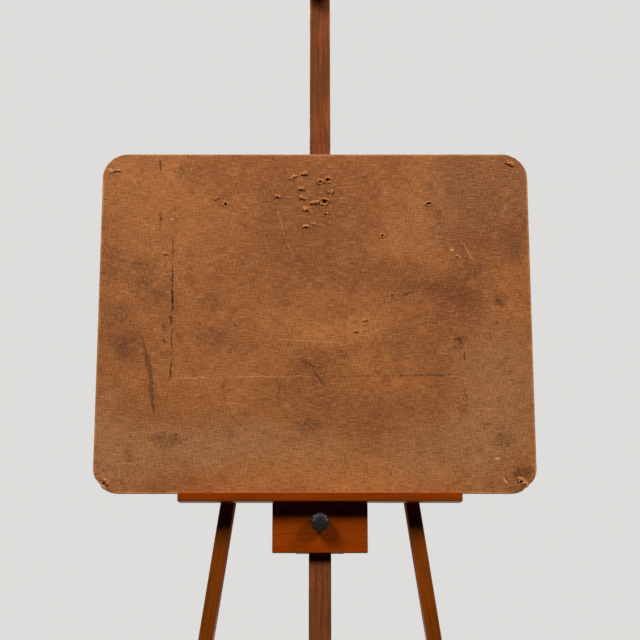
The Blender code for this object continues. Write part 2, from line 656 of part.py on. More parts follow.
def main():
    clear_scene()
    beech = make_material("stained_beech", (0.30, 0.085, 0.012), 0.42)
    mast_wood = make_material("mast_wood", (0.23, 0.065, 0.021), 0.40)
    hardboard = make_material("hardboard", (0.34, 0.13, 0.040), 0.60)
    plastic = make_material("knob_plastic", (0.022, 0.017, 0.016), 0.38)
    steel = make_material("zinc_steel", (0.55, 0.55, 0.53), 0.32, 1.0)
    brass = make_material("brass", (0.75, 0.52, 0.20), 0.30, 1.0)
    rubber = make_material("rubber", (0.020, 0.019, 0.018), 0.80)
    clamp_finishes = (steel, brass, plastic)

    frame = make_empty("front_frame_axes", None, (0, FRAME_Y, 0), -LEAN)
    legs = front_legs(frame, beech, rubber)
    upper = rail("upper_rail", UPPER_RAIL, frame, beech)
    lower = rail("lower_rail", LOWER_RAIL, frame, beech)
    rail_bolts(frame, legs, {"upper": upper, "lower": lower}, steel)
    mast_saddle(frame, upper, steel)
    mast_bridge(frame, lower, beech, clamp_finishes)
    rear_hinge(frame, upper, beech, steel)
    stay_catch(frame, lower, steel)

    mast(frame, mast_wood)
    tray_carriage(frame, beech, clamp_finishes)
    top_holder(frame, beech, clamp_finishes)
    drawing_board(frame, hardboard)

    hinge = make_empty("rear_hinge_axis", frame, (0, HINGE_Y, HINGE_HEIGHT), LEAN + REAR_ANGLE)
    rear_leg(hinge, beech, rubber, steel)
    stay_bar(frame, steel)


main()
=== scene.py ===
"""Looks of a wooden studio easel and the worn hardboard drawing board that stands on it.

The CAD pieces give every place and size. Most of them lean back with the easel's front legs, so they are
worked out along three directions: RIGHT, BACK (square to the front of the board) and UP (along the mast).
"""

import json
import math
from functools import partial

import bmesh
import bpy
import numpy as np
from mathutils import Euler, Matrix, Vector, noise


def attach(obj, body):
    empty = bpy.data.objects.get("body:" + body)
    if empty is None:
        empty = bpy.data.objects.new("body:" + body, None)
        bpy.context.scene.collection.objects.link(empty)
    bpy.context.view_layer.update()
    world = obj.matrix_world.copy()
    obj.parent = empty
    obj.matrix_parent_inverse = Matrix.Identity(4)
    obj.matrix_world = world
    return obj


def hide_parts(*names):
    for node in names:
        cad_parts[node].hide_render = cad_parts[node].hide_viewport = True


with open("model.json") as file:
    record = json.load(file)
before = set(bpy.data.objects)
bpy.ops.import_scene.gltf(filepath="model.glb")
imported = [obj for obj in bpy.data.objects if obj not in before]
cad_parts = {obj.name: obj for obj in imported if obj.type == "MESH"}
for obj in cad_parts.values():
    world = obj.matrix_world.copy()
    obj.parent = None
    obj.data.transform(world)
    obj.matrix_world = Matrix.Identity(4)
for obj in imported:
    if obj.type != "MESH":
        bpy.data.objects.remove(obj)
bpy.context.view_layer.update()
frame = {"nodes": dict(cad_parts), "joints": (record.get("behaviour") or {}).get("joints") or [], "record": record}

JOINTS = {joint["name"]: joint for joint in frame["joints"]}
BODY_OF = {node: body for body, nodes in frame["record"]["behaviour"]["bodies"].items() for node in nodes}

RIGHT = Vector((1, 0, 0))
UP = Vector(JOINTS["mast_slide"]["axis"]).normalized()
BACK = -Vector(JOINTS["board_lift_off"]["axis"]).normalized()
LEAN = math.atan2(UP.y, UP.z)
HINGE = Vector(JOINTS["rear_leg_fold"]["pos_m"])
STAY_PIVOT = Vector(JOINTS["stay_lift"]["pos_m"])
REAR_LEG_ALONG = (HINGE - STAY_PIVOT).normalized()


# ---------------- shader helpers

def srgb(red, green, blue):
    """A colour given in the usual 0 to 255 steps, as linear light."""
    def linear(step):
        level = step / 255
        return level / 12.92 if level <= 0.04045 else ((level + 0.055) / 1.055) ** 2.4
    return (linear(red), linear(green), linear(blue), 1.0)


class Shader:
    """A material under construction. Inputs are given by name, as values or as other nodes' outputs."""

    def __init__(self, name):
        self.material = bpy.data.materials.new(name)
        self.material.use_nodes = True
        self.tree = self.material.node_tree
        self.surface = self.tree.nodes["Principled BSDF"]

    def put(self, node, inputs):
        """Inputs set on a node: links for sockets, plain values for the rest."""
        for key, value in inputs.items():
            socket = node.inputs[key]
            if isinstance(value, bpy.types.NodeSocket):
                self.tree.links.new(value, socket)
            else:
                socket.default_value = value

    def add(self, kind, inputs=None, output=0, **settings):
        """One output of a new node."""
        node = self.tree.nodes.new("ShaderNode" + kind)
        for key, value in settings.items():
            setattr(node, key, value)
        self.put(node, inputs or {})
        return node.outputs[output]

    def math(self, operation, *values, clamp=False):
        return self.add("Math", dict(enumerate(values)), operation=operation, use_clamp=clamp)

    def vector(self, operation, *values, output=0):
        return self.add("VectorMath", dict(enumerate(values)), output=output, operation=operation)

    def here(self):
        """Object coordinates."""
        return self.add("TexCoord", output="Object")

    def split(self, vector):
        """A vector's x, y and z."""
        return self.add("SeparateXYZ", {"Vector": vector}).node.outputs

    def noise(self, vector, scale, detail=2.0, roughness=0.5, distortion=0.0, output=0):
        return self.add("TexNoise", {
            "Vector": vector, "Scale": scale, "Detail": detail, "Roughness": roughness,
            "Distortion": distortion}, output)

    def long_noise(self, vector, shares, scale, detail, roughness):
        """A noise whose grains are drawn out in the directions where a share is small."""
        return self.noise(self.vector("MULTIPLY", vector, shares), scale, detail, roughness)

    def ramp(self, value, low, high, to_low=0.0, to_high=1.0):
        """value from low..high to to_low..to_high, eased and held at the ends."""
        return self.add("MapRange", {
            "Value": value, "From Min": low, "From Max": high, "To Min": to_low, "To Max": to_high,
        }, interpolation_type="SMOOTHSTEP", clamp=False)

    def mix(self, factor, one, other):
        """One colour turned into the other as the factor rises from 0 to 1."""
        node = self.tree.nodes.new("ShaderNodeMix")
        node.data_type = "RGBA"
        node.clamp_factor = True
        factor_socket, one_socket, other_socket, result_socket = 0, 6, 7, 2
        self.put(node, {factor_socket: factor, one_socket: one, other_socket: other})
        return node.outputs[result_socket]

    def layered(self, tint, *layers):
        """Colours over a tint, each given as its pattern, the values between which it grows, its strength and
        the colour itself."""
        for pattern, low, high, strength, colour in layers:
            tint = self.mix(self.ramp(pattern, low, high, 0.0, strength), tint, colour)
        return tint

    def bump(self, height, strength, distance):
        return self.add("Bump", {"Height": height, "Strength": strength, "Distance": distance})

    def place(self, turn, origin=(0, 0, 0)):
        """Object coordinates turned by an Euler angle, with the origin moved to a point first."""
        turned = turn.to_matrix() @ Vector(origin)
        return self.add("Mapping", {"Vector": self.here(), "Rotation": turn, "Location": -turned})

    def done(self, **inputs):
        """The finished material, its surface set by input names with _ for spaces."""
        self.put(self.surface, {key.replace("_", " "): value for key, value in inputs.items()})
        return self.material


# ---------------- wood

def tone(middle, spread, roughness):
    """A wood's colours, from its middle one in linear light, and how rough its varnish is."""
    levels = {"middle": 1, "dark": 1 - spread, "light": 1 + spread, "fleck": 1 - 1.7 * spread}
    shades = {shade: tuple(channel * level for channel in middle) + (1.0,) for shade, level in levels.items()}
    return shades | {"roughness": roughness}


TRAY_BEECH = tone((0.268, 0.0372, 0.0002), 0.24, 0.36)
# The front plate has the tray's stain, painted about 16 % lighter: painted light standing in for the brighter
# light on the plate.
PLATE_BEECH_PAINTED_LIGHTER = tone((0.310, 0.0440, 0.0003), 0.24, 0.36)
LEG_BEECH = tone((0.225, 0.044, 0.0022), 0.28, 0.38)
MAST_BEECH = tone((0.218, 0.060, 0.0195), 0.46, 0.33)
VARNISH_TINT = (1.0, 0.50, 0.18, 1.0)


def wood(name, along, shades, seed):
    """Stained, varnished beech, its grain along a direction. Each seed cuts the piece from other timber."""
    s = Shader(name)
    turn = Vector(along).rotation_difference(Vector((0, 0, 1))).to_euler()
    here = s.vector("ADD", s.place(turn), seed * Vector((0.37, 0.53, 0.71)))
    bend = s.long_noise(here, (1.0, 1.0, 0.5), 26.0, 2.0, 0.5)
    bend = s.vector("MULTIPLY", s.add("CombineXYZ", {"X": bend, "Y": bend}), (0.004, 0.004, 0))
    wavy = s.vector("ADD", here, bend)

    bands = s.long_noise(wavy, (1.0, 1.0, 0.030), 95.0, 3.0, 0.55)
    streaks = s.long_noise(wavy, (1.0, 1.0, 0.035), 330.0, 3.0, 0.6)
    fibres = s.long_noise(wavy, (1.0, 1.0, 0.030), 1300.0, 3.0, 0.65)
    cloud = s.long_noise(here, (1.0, 1.0, 0.4), 24.0, 3.0, 0.55)
    flecks = s.ramp(s.long_noise(here, (1.0, 1.0, 0.16), 1000.0, 0.0, 0.5), 0.63, 0.72)
    growth = s.math("FRACT", s.math("ADD", s.math("MULTIPLY", bands, 7.0), s.math("MULTIPLY", cloud, 2.0)))
    late_wood = s.math("MULTIPLY", s.ramp(growth, 0.45, 0.93), s.ramp(growth, 1.0, 0.93))

    dark, light = shades["dark"], shades["light"]
    base = s.mix(s.ramp(cloud, 0.34, 0.66), dark, light)
    base = s.mix(0.45, base, shades["middle"])
    base = s.layered(
        base, (bands, 0.60, 0.38, 0.45, dark), (streaks, 0.52, 0.34, 0.60, dark),
        (streaks, 0.52, 0.70, 0.65, light), (fibres, 0.50, 0.32, 0.55, dark),
        (fibres, 0.54, 0.74, 0.50, light))
    base = s.mix(s.math("MULTIPLY", late_wood, 0.40), base, dark)
    base = s.mix(s.math("MULTIPLY", flecks, 0.55), base, shades["fleck"])

    relief = s.math("ADD", s.math("MULTIPLY", fibres, 0.7), s.math("MULTIPLY", streaks, 0.5))
    relief = s.math("ADD", relief, s.math("MULTIPLY", flecks, -0.4))
    low, high = shades["roughness"] - 0.04, shades["roughness"] + 0.08
    return s.done(Base_Color=base, Roughness=s.ramp(streaks, 0.3, 0.7, low, high),
                  Normal=s.bump(relief, 0.40, 0.00022), Specular_Tint=VARNISH_TINT, Specular_IOR_Level=0.42,
                  Coat_Weight=0.06, Coat_Roughness=0.22)


# ---------------- other materials

def zinc_steel():
    s = Shader("zinc_plated_steel")
    here = s.here()
    cloud = s.noise(here, 160.0, 3.0, 0.6)
    fine = s.noise(here, 2600.0, 2.0, 0.6)
    tint = s.mix(s.ramp(cloud, 0.35, 0.68), srgb(196, 197, 196), srgb(214, 207, 188))
    tint = s.mix(s.ramp(fine, 0.60, 0.78, 0.0, 0.35), tint, srgb(140, 140, 138))
    roughness = s.ramp(cloud, 0.3, 0.7, 0.26, 0.42)
    return s.done(Base_Color=tint, Metallic=1.0, Roughness=roughness, Normal=s.bump(fine, 0.25, 0.00006))


def brass():
    s = Shader("plain_brass")
    here = s.here()
    cloud = s.noise(here, 240.0, 3.0, 0.6)
    tint = s.mix(s.ramp(cloud, 0.35, 0.70), srgb(214, 176, 98), srgb(168, 124, 60))
    roughness = s.ramp(cloud, 0.3, 0.7, 0.24, 0.40)
    return s.done(Base_Color=tint, Metallic=1.0, Roughness=roughness, Normal=s.bump(cloud, 0.2, 0.00005))


def knob_plastic():
    """Moulded dark plastic with a fine grained skin, dulled in patches."""
    s = Shader("moulded_knob_plastic")
    here = s.here()
    grain = s.noise(here, 1300.0, 2.0, 0.6)
    dust = s.noise(here, 330.0, 4.0, 0.65)
    tint = s.mix(s.ramp(dust, 0.42, 0.72), srgb(24, 22, 22), srgb(39, 36, 35))
    tint = s.mix(s.ramp(grain, 0.60, 0.74, 0.0, 0.45), tint, srgb(66, 61, 60))
    roughness = s.ramp(dust, 0.35, 0.70, 0.42, 0.58)
    return s.done(Base_Color=tint, Roughness=roughness, Normal=s.bump(grain, 0.45, 0.00018),
                  Specular_IOR_Level=0.32)


def rubber():
    s = Shader("foot_rubber")
    here = s.here()
    grain = s.noise(here, 900.0, 3.0, 0.65)
    scuffs = s.long_noise(here, (1.0, 1.0, 4.0), 90.0, 3.0, 0.6)
    tint = s.mix(s.ramp(scuffs, 0.50, 0.74), srgb(34, 33, 32), srgb(84, 80, 75))
    return s.done(Base_Color=tint, Roughness=0.82, Normal=s.bump(grain, 0.5, 0.0002))


# ---------------- the drawing board's surface

MM = 0.001
BOARD_TINTS = {
    "base_low": srgb(150, 85, 41), "base_high": srgb(170, 101, 50), "yellowed": srgb(188, 116, 56),
    "reddened": srgb(122, 63, 28), "greyed": srgb(172, 118, 74), "shade": srgb(86, 44, 19),
    "light": srgb(220, 148, 82), "speck": srgb(78, 40, 20), "soil": srgb(88, 49, 23), "ink": srgb(50, 27, 15),
    "bare_fibre_and_highlight": srgb(226, 160, 98), "bluish": srgb(106, 108, 110),
}

# Marks on the board's face, in millimetres: across from its middle, up from its bottom edge.
# Broad stains: across, up, half-width, half-height, turn in degrees, strength
# The strong yellowed and greyed patches along the bottom edge and the reddened ones over the top also make the
# board lighter towards the bottom and darker towards the top.
YELLOWED = [
    (-300, 520, 120, 110, 20, 0.42), (-180, 430, 110, 80, -20, 0.30), (45, 285, 130, 40, 4, 0.80),
    (-60, 300, 90, 40, 0, 0.35), (130, 420, 60, 70, 0, 0.30), (-160, 180, 120, 70, 0, 0.28),
    (-10, 40, 220, 55, 0, 0.90), (130, 30, 160, 45, 0, 0.85), (110, 200, 120, 70, 0, 0.25),
    (-350, 200, 60, 60, 0, 0.25),
]
REDDENED = [
    (-10, 500, 150, 130, 0, 0.55), (180, 370, 160, 55, -6, 0.60), (60, 400, 120, 50, 10, 0.35),
    (-90, 380, 110, 80, 0, 0.28), (60, 140, 130, 60, 0, 0.30), (-180, 565, 60, 50, 0, 0.30),
    (10, 200, 80, 60, 0, 0.34), (-130, 270, 60, 50, 0, 0.30), (250, 330, 80, 80, 20, 0.50),
    (310, 520, 140, 150, 0, 1.00),
]
GREYED = [
    (310, 540, 130, 100, 0, 0.30), (320, 180, 110, 160, 0, 0.65), (-280, 70, 150, 75, 0, 0.70),
    (-60, 80, 180, 60, 0, 0.45), (240, 70, 170, 80, 0, 0.60), (-150, 100, 110, 70, 0, 0.40),
    (190, 500, 80, 90, 0, 0.22), (-365, 100, 40, 120, 0, 0.40),
]
# Smudges, given as the stains are. The small ones at and just below the torn places are painted shadow under the
# flaps as well as dirt, and those over the top also darken the board towards its top.
SMUDGES_AND_FLAP_SHADOWS = [
    (-340, 290, 44, 68, 10, 0.50), (-325, 250, 34, 40, -20, 0.34), (-290, 350, 36, 36, 0, 0.56),
    (-365, 400, 30, 58, 8, 0.44), (-312, 385, 40, 34, 30, 0.42), (-255, 350, 16, 70, 0, 0.30),
    (-248, 428, 12, 12, 20, 0.45), (-250, 490, 10, 14, 0, 0.35), (-180, 336, 20, 22, 0, 0.48),
    (-178, 272, 30, 26, 0, 0.44), (-300, 410, 30, 20, 0, 0.26), (275, 395, 60, 24, 14, 0.55),
    (240, 355, 50, 26, -20, 0.46), (180, 365, 50, 18, 10, 0.42), (335, 440, 44, 44, 12, 0.30),
    (360, 420, 22, 60, 0, 0.36), (300, 520, 60, 50, 0, 0.26), (325, 341, 18, 15, 0, 0.72),
    (275, 320, 30, 30, 0, 0.30), (-165, 525, 26, 20, 0, 0.40), (-70, 530, 26, 18, 8, 0.30),
    (15, 530, 34, 40, 0, 0.36), (-15, 470, 24, 18, 0, 0.36), (-20, 225, 20, 12, 0, 0.34),
    (6, 192, 22, 8, -24, 0.46), (-50, 160, 60, 14, 14, 0.20), (160, 560, 60, 30, 0, 0.20),
    (340, 58, 30, 46, 0, 0.24), (356, 34, 22, 14, 24, 0.85), (-364, 574, 16, 20, 0, 0.30),
    (-10, 260, 90, 16, 10, 0.16), (250, 262, 16, 18, 0, 0.44), (-228, 580, 30, 26, 0, 0.46),
    (-255, 92, 44, 16, 0, 0.66), (-12, 116, 34, 16, 0, 0.56), (326, 95, 32, 22, 0, 0.52),
    (205, 505, 14, 12, 0, 0.30), (120, 458, 12, 12, 0, 0.40), (-282, 175, 10, 50, 6, 0.38),
    (205, 110, 40, 30, 0, 0.18),
]
# Ink and graphite lines: from (across, up), to (across, up), half-width, strength
LINES = [
    ((-279, 604), (-277, 573), 1.9, 0.80), ((-276, 500), (-275, 460), 2, 0.40),
    ((-276, 496), (-274, 486), 4.6, 0.50), ((-265, 414), (-264, 392), 1.6, 0.46),
    ((-253, 470), (-252, 400), 1.4, 0.62), ((-252, 408), (-251, 352), 2, 0.95),
    ((-252, 366), (-250, 318), 2.8, 1.15), ((-253, 312), (-251, 298), 3.4, 1.00),
    ((-252, 294), (-249, 240), 1.8, 0.75), ((-250, 236), (-253, 190), 2, 0.80),
    ((-265, 296), (-264, 284), 2.4, 0.72), ((-264, 272), (-262, 262), 2.4, 0.72),
    ((-254, 186), (-258, 150), 1.2, 0.34), ((-267, 360), (-266, 330), 1.2, 0.34),
    ((-306, 280), (-293, 240), 3.8, 0.46), ((-296, 250), (-285, 205), 6.2, 0.50),
    ((-287, 214), (-282, 160), 5.2, 0.50), ((-283, 172), (-278, 132), 3, 0.62),
    ((10, 203), (130, 205), 1.4, 0.46), ((120, 205), (260, 207), 1.8, 0.68),
    ((-4, 216), (18, 186), 3.2, 0.60), ((-30, 236), (4, 218), 2.6, 0.52), ((259, 184), (266, 158), 1.8, 0.60),
    ((137, 354), (136, 344), 2.4, 0.75), ((150, 347), (176, 356), 2.2, 0.66),
    ((-150, 308), (-138, 292), 2.8, 0.75), ((148, 163), (144, 158), 2, 0.50),
    ((318, 344), (332, 330), 4, 0.58), ((318, 302), (320, 296), 2.2, 0.70), ((327, 40), (330, 14), 1.5, 0.60),
    ((246, 271), (254, 270), 4.2, 0.80), ((262, 247), (262, 233), 2.6, 0.75),
    ((254, 262), (259, 272), 2, 0.55), ((352, 505), (372, 490), 3, 0.36),
    ((-238, 292), (-236, 250), 1.2, 0.24), ((135, 380), (136, 250), 1, 0.20),
]
# Faint arcs of the same ink: middle, radius, from and to in degrees, half-width, strength
ARCS = [((-60, 190), 100, 176, 236, 2.2, 0.38), ((-10, 170), 55, 125, 262, 2.8, 0.34)]
# Pale scratches and chips, given as the lines are
PALE_LINES = [
    ((-250, 201), (-170, 202), 1, 0.50), ((-160, 203), (10, 204), 1, 0.36),
    ((-110, 272), (90, 262), 1.2, 0.26), ((-70, 520), (-52, 450), 1.2, 0.22),
    ((-52, 450), (-36, 420), 1.1, 0.22), ((262, 446), (280, 412), 1.4, 0.36),
    ((-350, 52), (-290, 52), 1, 0.34), ((-336, 52), (-336, 22), 1, 0.34), ((60, 275), (61, 340), 1, 0.22),
    ((-330, 575), (-318, 545), 1.2, 0.40), ((-257, 488), (-253, 488), 2.2, 0.85),
    ((-268, 426), (-262, 424), 2.8, 0.85), ((240, 433), (247, 432), 1.8, 0.70),
    ((250, 420), (257, 419), 2.4, 0.80), ((309, 60), (318, 61), 2, 1.00), ((323, 27), (330, 18), 1.8, 0.80),
    ((0, 400), (60, 352), 1, 0.26), ((-372, 582), (-352, 579), 2.2, 0.65),
    ((-371, 22), (-358, 10), 2.6, 0.80), ((350, 26), (364, 14), 6, 1.00),
]
# One spot of blue paint, given as a stain is
BLUISH_SPOT = (219, 471, 4.5, 7, 0, 0.55)
# The spacing of the wires whose print the fibreboard keeps
SCREEN_PITCH = 0.0019


def board_place(s, origin):
    """Coordinates on the board: x across, z up, with the depth flattened out."""
    return s.vector("MULTIPLY", s.place(Euler((LEAN, 0, 0)), origin), (1.0, 0.0, 1.0))


def soft_spot(s, here, across, up, half_width, half_height, turn, strength, sharp=0.25):
    """1 in the middle of an ellipse given in millimetres, easing to 0 at its rim, times strength."""
    across, up, half_width, half_height = (size * MM for size in (across, up, half_width, half_height))
    cosine, sine = math.cos(math.radians(turn)), math.sin(math.radians(turn))
    offset = s.vector("SUBTRACT", here, (across, 0, up))
    along = s.vector("DOT_PRODUCT", offset, (cosine / half_width, 0, sine / half_width), output="Value")
    beside = s.vector("DOT_PRODUCT", offset, (-sine / half_height, 0, cosine / half_height), output="Value")
    reach = s.math("MULTIPLY_ADD", along, along, s.math("MULTIPLY", beside, beside))
    return s.ramp(reach, 1.0, sharp ** 2, 0.0, strength)


def line_spot(s, here, start, end, half_width, strength):
    """A spot stretched along a line."""
    run, rise = end[0] - start[0], end[1] - start[1]
    return soft_spot(
        s, here, (start[0] + end[0]) / 2, (start[1] + end[1]) / 2, math.hypot(run, rise) / 2 + half_width,
        half_width, math.degrees(math.atan2(rise, run)), strength, 0.45)


def arc_lines(middle, radius, start, stop, half_width, strength):
    """An arc as a chain of short lines."""
    angles = np.radians(np.linspace(start, stop, 6))
    points = [(middle[0] + radius * math.cos(turn), middle[1] + radius * math.sin(turn)) for turn in angles]
    return [(one, other, half_width, strength) for one, other in zip(points, points[1:])]


def gathered(s, place, marks, draw, **settings):
    """The strengths of many marks, each added in as soon as it is drawn, so that few are held at a time."""
    result = draw(s, place, *marks[0], **settings)
    for mark in marks[1:]:
        result = s.math("ADD", result, draw(s, place, *mark, **settings))
    return result


def jostled(s, here, scale, reach):
    """Coordinates pushed about by a noise, so that marks drawn with them get uneven outlines."""
    push = s.noise(here, scale, 3.0, 0.6, output="Color")
    push = s.vector("SUBTRACT", push, (0.5, 0.5, 0.5))
    return s.vector("ADD", here, s.vector("MULTIPLY", push, (reach, 0.0, reach)))


def stained(s, here, tint):
    """The broad stains over a tint."""
    drifting = jostled(s, here, 9.0, 0.09)
    for stains, colour in ((YELLOWED, "yellowed"), (REDDENED, "reddened"), (GREYED, "greyed")):
        amount = gathered(s, drifting, stains, soft_spot, sharp=0.1)
        tint = s.mix(s.math("MINIMUM", amount, 0.92), tint, BOARD_TINTS[colour])
    return tint


def soiled_and_flap_shaded(s, here, tint, blotches):
    """Handling dirt over a tint, with painted shadow under the torn flaps among it, and how much of it there is.
    """
    smudging_and_flap_shadow = gathered(s, jostled(s, here, 42.0, 0.030), SMUDGES_AND_FLAP_SHADOWS, soft_spot, sharp=0.0)
    smudging_and_flap_shadow = s.math("MULTIPLY", smudging_and_flap_shadow, s.ramp(blotches, 0.36, 0.58, 0.55, 1.30))
    grime = s.noise(here, 210.0, 4.0, 0.78)
    soil = s.ramp(s.math("MULTIPLY_ADD", smudging_and_flap_shadow, 0.30, grime), 0.49, 0.90, 0.0, 0.85)
    # The soil colour is dirt, and round the torn places also painted shadow under the flaps.
    return s.mix(soil, tint, BOARD_TINTS["soil"]), soil


def scratched(s, here, tint, fibres):
    """Ink lines, pale scratches and one bluish spot over a tint, broken up where the fibres stand proud."""
    uneven = jostled(s, here, 110.0, 0.0075)
    arcs = [line for arc in ARCS for line in arc_lines(*arc)]
    ink = gathered(s, uneven, LINES + arcs, line_spot)
    ink = s.math("MULTIPLY", ink, s.ramp(s.noise(here, 120.0, 3.0, 0.7), 0.40, 0.56, 0.42, 1.05))
    ink = s.math("MULTIPLY", ink, s.ramp(fibres, 0.36, 0.56, 0.35, 1.3), clamp=True)
    tint = s.mix(ink, tint, BOARD_TINTS["ink"])
    pale = gathered(s, uneven, PALE_LINES, line_spot)
    pale = s.math("MULTIPLY", pale, s.ramp(fibres, 0.32, 0.52, 0.35, 1.2), clamp=True)
    tint = s.mix(pale, tint, BOARD_TINTS["bare_fibre_and_highlight"])
    return s.mix(soft_spot(s, uneven, *BLUISH_SPOT), tint, BOARD_TINTS["bluish"])


def rubbed_and_highlit_rim(s, here, half_width, height):
    """1 at the board's edges, easing to 0 a few millimetres in: rubbed bare fibre, with a painted highlight where
    the rounded edges catch the light.
    """
    rubbed_and_highlit_width, fully_rubbed_and_highlit = 0.0045, 0.0008
    across, _, up = s.split(here)
    to_side = s.math("SUBTRACT", half_width, s.math("ABSOLUTE", across))
    to_end = s.math("MINIMUM", up, s.math("SUBTRACT", height, up))
    return s.ramp(s.math("MINIMUM", to_side, to_end), rubbed_and_highlit_width, fully_rubbed_and_highlit, 0.0, 0.55)


def hardboard(name, origin, half_width, height, marked):
    """Brown pressed fibreboard with the print of a wire screen. A marked face shows the wear of long use."""
    s = Shader(name)
    here = board_place(s, origin)
    across, _, up = s.split(jostled(s, here, 60.0, 0.0022))
    wires = 2 * math.pi / SCREEN_PITCH
    waves = [s.math("SINE", s.math("MULTIPLY", place, wires)) for place in (across, up)]
    screen = s.math("MULTIPLY", s.math("ADD", *waves), 0.25)

    patches = s.noise(here, 6.5, 4.0, 0.60, 0.3)
    blotches = s.noise(here, 30.0, 5.0, 0.66)
    fibres = s.noise(here, 560.0, 2.0, 0.75)
    specks = s.noise(here, 700.0, 1.0, 0.6)
    level_threads = s.long_noise(here, (0.06, 1.0, 1.0), 860.0, 1.0, 0.6)
    upright_threads = s.long_noise(here, (1.0, 1.0, 0.08), 940.0, 1.0, 0.6)
    hairlines = s.long_noise(here, (0.018, 1.0, 1.0), 620.0, 1.0, 0.5)

    shade, light = BOARD_TINTS["shade"], BOARD_TINTS["light"]
    tint = s.mix(s.ramp(patches, 0.36, 0.64), BOARD_TINTS["base_low"], BOARD_TINTS["base_high"])
    if marked:
        tint = stained(s, here, tint)
    tint = s.layered(
        tint, (blotches, 0.48, 0.30, 0.40, shade), (blotches, 0.52, 0.74, 0.22, light),
        (level_threads, 0.50, 0.30, 0.58, shade), (level_threads, 0.52, 0.74, 0.464, light),
        (upright_threads, 0.50, 0.30, 0.44, shade), (upright_threads, 0.52, 0.74, 0.352, light))
    drawn_out = s.math("MULTIPLY", s.ramp(hairlines, 0.62, 0.76, 0.0, 0.60), s.ramp(blotches, 0.42, 0.60))
    tint = s.mix(drawn_out, tint, light)
    tint = s.layered(
        tint, (fibres, 0.50, 0.26, 1.0, shade), (fibres, 0.50, 0.76, 0.52, light),
        (specks, 0.60, 0.70, 0.60, BOARD_TINTS["speck"]), (screen, -0.10, -0.42, 0.30, shade))

    soil = s.ramp(blotches, 0.50, 0.34, 0.0, 0.20)
    if marked:
        tint, soil = soiled_and_flap_shaded(s, here, tint, blotches)
        tint = scratched(s, here, tint, fibres)
    # Painted highlight where the rounded edges catch the light, together with rubbed bare fibre: lighter towards
    # the rim.
    rim = s.math("MULTIPLY", rubbed_and_highlit_rim(s, here, half_width, height), s.ramp(blotches, 0.40, 0.60, 0.4, 1.0))
    tint = s.mix(rim, tint, BOARD_TINTS["bare_fibre_and_highlight"])

    relief = s.math("ADD", s.math("MULTIPLY", screen, 0.45), s.math("MULTIPLY", fibres, 0.9))
    threads = s.math("ADD", level_threads, upright_threads)
    relief = s.math("ADD", relief, s.math("MULTIPLY", threads, 0.8))
    roughness = s.math("SUBTRACT", s.ramp(fibres, 0.3, 0.7, 0.66, 0.78), s.math("MULTIPLY", soil, 0.16))
    return s.done(Base_Color=tint, Roughness=roughness, Normal=s.bump(relief, 0.55, 0.00045),
                  Specular_IOR_Level=0.16)


def raw_fibre(name, dark, light):
    """Torn hardboard: loose fibres, painted lighter where the tufts stand up and darker between them, as painted
    light and shade.
    """
    s = Shader(name)
    here = s.here()
    tufts = s.noise(here, 700.0, 4.0, 0.7)
    clumps = s.noise(here, 190.0, 3.0, 0.6)
    # Painted light and shade: the tufts' colour follows their bump, lighter on the high parts.
    tint = s.mix(s.ramp(tufts, 0.36, 0.66), dark, light)
    tint = s.mix(s.ramp(clumps, 0.55, 0.40, 0.0, 0.45), tint, dark)
    return s.done(Base_Color=tint, Roughness=0.86, Normal=s.bump(tufts, 0.8, 0.0006), Specular_IOR_Level=0.2)


# ---------------- mesh helpers

def goes_with(piece, node):
    """A piece moves with a CAD node."""
    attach(piece, BODY_OF[node])


def stands_for(piece, node):
    """A piece takes the place of a CAD node."""
    goes_with(piece, node)
    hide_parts(node)


def new_piece(name, shape, materials, smooth_angle=40):
    """An object made from a bmesh, shaded smoothly except across edges sharper than an angle."""
    bmesh.ops.recalc_face_normals(shape, faces=shape.faces)
    mesh = bpy.data.meshes.new(name)
    shape.to_mesh(mesh)
    shape.free()
    mesh.shade_smooth()
    mesh.set_sharp_from_angle(angle=math.radians(smooth_angle))
    for material in materials:
        mesh.materials.append(material)
    piece = bpy.data.objects.new(name, mesh)
    bpy.context.scene.collection.objects.link(piece)
    return piece


def refined(node, material):
    """The CAD node's own shape, with its triangles merged into clean faces and its round edges smooth."""
    shape = bmesh.new()
    shape.from_mesh(frame["nodes"][node].data)
    bmesh.ops.remove_doubles(shape, verts=shape.verts, dist=1e-6)
    bmesh.ops.dissolve_limit(shape, angle_limit=math.radians(0.4), verts=shape.verts, edges=shape.edges)
    piece = new_piece(node + "_finished", shape, [material], 50)
    weighted = piece.modifiers.new("even shading", "WEIGHTED_NORMAL")
    weighted.keep_sharp = True
    stands_for(piece, node)


def vertices_of(node):
    """A CAD node's separate corner points."""
    found = {tuple(round(value, 6) for value in vertex.co) for vertex in frame["nodes"][node].data.vertices}
    return np.array(sorted(found))


class Axis:
    """The turning axis of a round CAD piece, from its wider end to its narrower one."""

    def __init__(self, node):
        points = vertices_of(node)
        middle = points.mean(axis=0)
        spread, directions = np.linalg.eigh(np.cov((points - middle).T))
        odd_one = 0 if spread[1] - spread[0] > spread[2] - spread[1] else 2
        along = directions[:, odd_one]
        offsets = (points - middle) @ along
        radii = np.linalg.norm((points - middle) - np.outer(offsets, along), axis=1)
        widest = offsets[radii > radii.max() * 0.98].mean()
        if widest > (offsets.max() + offsets.min()) / 2:
            along, offsets = -along, -offsets
        self.along = Vector(along)
        self.start = Vector(middle) + self.along * float(offsets.min())
        self.length = float(offsets.max() - offsets.min())
        self.radius = float(radii.max())

    def facing(self, direction):
        """Turns the axis end for end where that makes it run in a direction."""
        if self.along.dot(direction) < 0:
            self.start = self.start + self.along * self.length
            self.along = -self.along


def plain_ring(_):
    """A circle."""
    return 1.0


